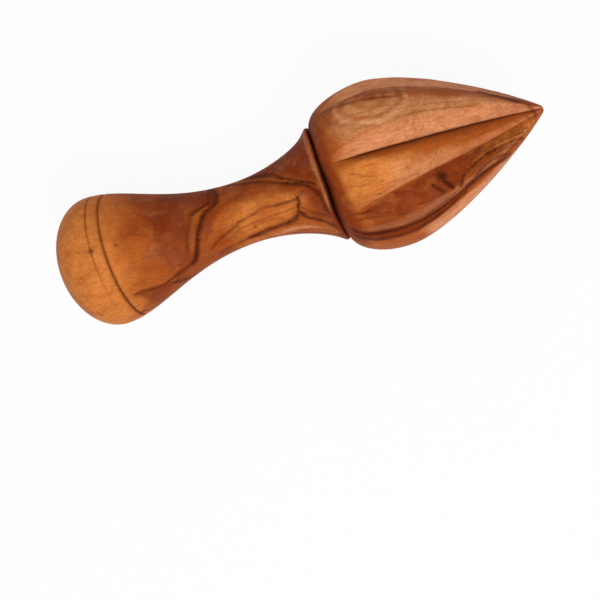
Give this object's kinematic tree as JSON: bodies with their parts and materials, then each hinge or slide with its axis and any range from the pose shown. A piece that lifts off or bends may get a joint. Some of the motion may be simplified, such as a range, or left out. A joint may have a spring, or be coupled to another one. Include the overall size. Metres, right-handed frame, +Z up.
{
  "type": "citrus reamer",
  "caption": "Hand-turned wooden citrus reamer with a waisted handle and a grooved, pointed head, lying on its side.",
  "frame": {"origin": "on the table, under the middle of the tool's box as it lies on its side", "axes": "+X from the butt towards the point, +Z up; the tool's own axis rises 2.7 degrees towards the point"},
  "size_m": [0.15, 0.0496, 0.0489],
  "materials": {
    "olive_wood_handle": "oiled satin olive wood",
    "olive_wood_head": "oiled satin olive wood"
  },
  "bodies": {
    "root": {"handle": "olive_wood_handle", "head": "olive_wood_head"}
  },
  "joints": []
}
